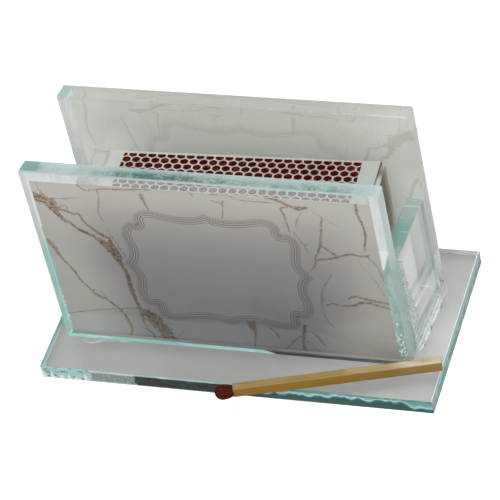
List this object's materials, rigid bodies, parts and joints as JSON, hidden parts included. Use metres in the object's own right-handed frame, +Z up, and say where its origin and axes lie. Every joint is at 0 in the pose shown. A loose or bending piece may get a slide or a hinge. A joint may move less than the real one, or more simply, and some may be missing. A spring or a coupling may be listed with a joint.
{
  "type": "match holder",
  "caption": "Small stand of glued glass panes whose printed upright panels hold a matchbox on its side, with a loose match lying on the base plate's ledge.",
  "frame": {"origin": "on the surface that the feet stand on, under the middle of the object's box", "axes": "+X to the right along the panels, +Y to the back across the slot, +Z up"},
  "size_m": [0.0804, 0.0456, 0.0518],
  "materials": {
    "clear_glass": "clear float glass, ground edges",
    "clear_glue": "clear cured glue",
    "clear_rubber": "clear soft bumper",
    "marble_print": "glossy marble print",
    "white_card": "smooth white card",
    "grey_board": "uncoated grey board",
    "striker_coat": "rough striking coat",
    "aspen_wood": "raw split aspen",
    "match_head": "dry matt match head"
  },
  "bodies": {
    "holder": {"base_plate": "clear_glass", "front_panel": "clear_glass", "back_panel": "clear_glass", "left_end_wall": "clear_glass", "right_end_wall": "clear_glass", "front_print": "marble_print", "back_print": "marble_print", "foot_front_left": "clear_rubber", "foot_front_right": "clear_rubber", "foot_back_left": "clear_rubber", "foot_back_right": "clear_rubber", "glue_front_foot": "clear_glue", "glue_left_foot": "clear_glue", "glue_left_front": "clear_glue", "glue_left_back": "clear_glue", "glue_right_foot": "clear_glue", "glue_right_front": "clear_glue", "glue_right_back": "clear_glue"},
    "matchbox": {"matchbox_sleeve": "white_card", "striker_top": "striker_coat", "striker_bottom": "striker_coat"},
    "tray": {"matchbox_tray": "grey_board", "tray_match_01": "aspen_wood", "tray_match_02": "aspen_wood", "tray_match_03": "aspen_wood", "tray_match_04": "aspen_wood", "tray_match_05": "aspen_wood", "tray_match_06": "aspen_wood", "tray_match_07": "aspen_wood", "tray_match_08": "aspen_wood", "tray_match_09": "aspen_wood", "tray_match_10": "aspen_wood", "tray_match_11": "aspen_wood", "tray_match_12": "aspen_wood", "tray_match_13": "aspen_wood", "tray_match_14": "aspen_wood", "tray_match_15": "aspen_wood", "tray_match_16": "aspen_wood", "tray_match_17": "aspen_wood", "tray_match_18": "aspen_wood", "tray_match_19": "aspen_wood", "tray_match_20": "aspen_wood", "tray_match_21": "aspen_wood", "tray_match_22": "aspen_wood", "tray_match_23": "aspen_wood", "tray_match_24": "aspen_wood", "tray_match_25": "aspen_wood", "tray_match_26": "aspen_wood", "tray_match_27": "aspen_wood", "tray_match_28": "aspen_wood", "tray_match_29": "aspen_wood", "tray_match_30": "aspen_wood", "tray_match_31": "aspen_wood", "tray_match_32": "aspen_wood", "tray_match_33": "aspen_wood", "tray_match_34": "aspen_wood", "tray_match_35": "aspen_wood"},
    "loose_match": {"loose_match_stick": "aspen_wood", "loose_match_head": "match_head"}
  },
  "joints": [
    {"name": "box_lift", "type": "slide", "parent": "holder", "child": "matchbox", "axis": [0, 0, 1], "range_m": [0, 0.052]},
    {"name": "tray_slide", "type": "slide", "parent": "matchbox", "child": "tray", "axis": [0.9994, 0.0349, 0], "range_m": [-0.007, 0.0012]},
    {"name": "match_lift", "type": "slide", "parent": "holder", "child": "loose_match", "axis": [0, 0, 1], "range_m": [0, 0.06]}
  ]
}
